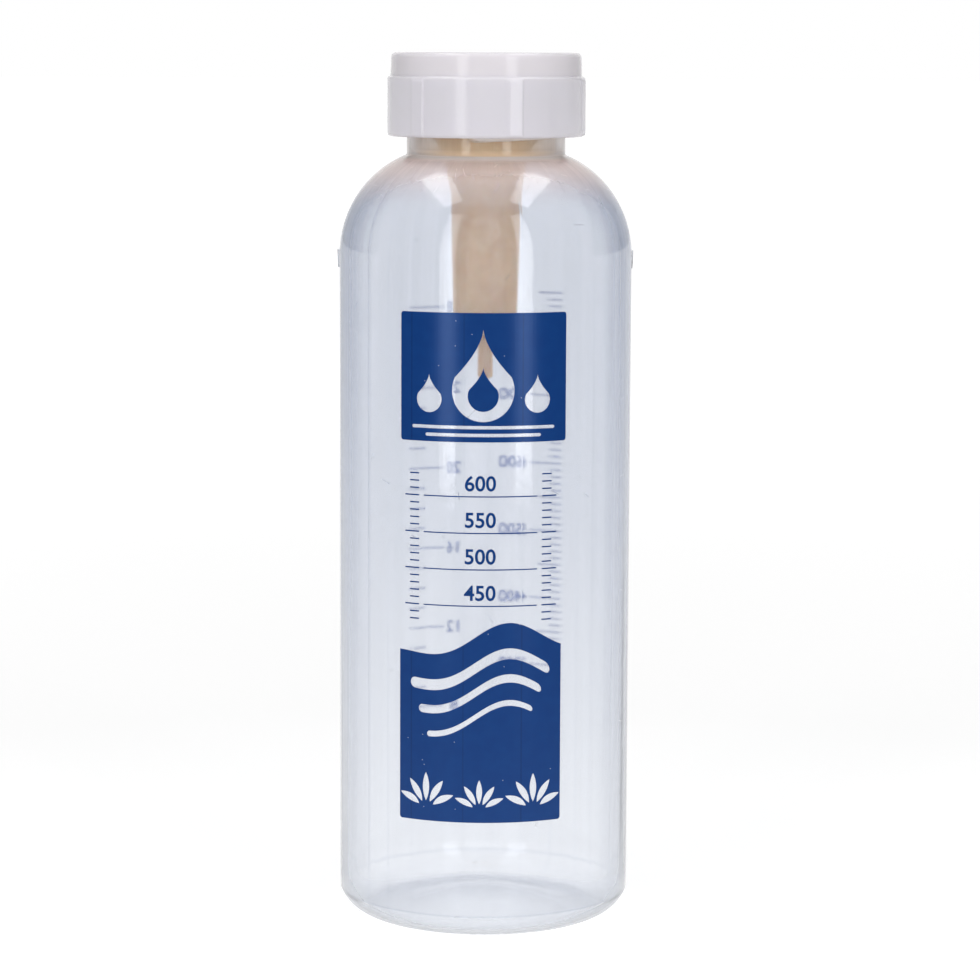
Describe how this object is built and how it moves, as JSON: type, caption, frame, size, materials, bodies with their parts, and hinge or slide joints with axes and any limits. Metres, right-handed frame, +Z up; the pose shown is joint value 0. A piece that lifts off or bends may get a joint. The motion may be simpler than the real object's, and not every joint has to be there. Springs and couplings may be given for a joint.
{
  "type": "lamb feeding bottle",
  "caption": "Upright translucent feeding bottle with a screw ring, a rubber teat stored turned down in the neck, and an anti-vacuum valve plate.",
  "frame": {"origin": "centre of the base, on the plane that the foot ring stands on", "axes": "+Z up along the bottle's axis, towards the closure; -Y is the printed front; +X is to the right as seen from the front"},
  "size_m": [0.0834, 0.082, 0.243],
  "materials": {
    "bottle_plastic": "blown natural polypropylene, clear but hazy, smooth",
    "ring_plastic": "injection-moulded white polypropylene, satin",
    "teat_rubber": "moulded natural rubber, cream to tan, satin",
    "plate_plastic": "injection-moulded white plastic, satin",
    "valve_silicone": "moulded translucent silicone"
  },
  "bodies": {
    "bottle": {"bottle": "bottle_plastic"},
    "teat_and_plate": {"teat": "teat_rubber", "valve_plate": "plate_plastic"},
    "screw_ring": {"screw_ring": "ring_plastic"},
    "milk_valve": {"milk_valve": "valve_silicone"},
    "air_valve": {"air_valve": "valve_silicone"}
  },
  "joints": [
    {"name": "closure_lift", "type": "slide", "parent": "bottle", "child": "teat_and_plate", "axis": [0, 0, 1], "range_m": [0, 0.00638]},
    {"name": "cap_turn", "type": "hinge", "parent": "teat_and_plate", "child": "screw_ring", "pos_m": [0, 0, 0.2358], "axis": [0, 0, 1], "range_deg": [0, 382]},
    {"name": "milk_valve_open", "type": "slide", "parent": "teat_and_plate", "child": "milk_valve", "axis": [0, 0, -1], "range_m": [0, 0.001], "stiffness_N_per_m": 20, "springref_m": -0.0005},
    {"name": "air_valve_open", "type": "slide", "parent": "teat_and_plate", "child": "air_valve", "axis": [0, 0, 1], "range_m": [0, 0.0006], "stiffness_N_per_m": 20, "springref_m": -0.0003}
  ],
  "couplings": [
    {"joint": "closure_lift", "follows": "cap_turn", "m_per_rad": 0.00095493}
  ]
}
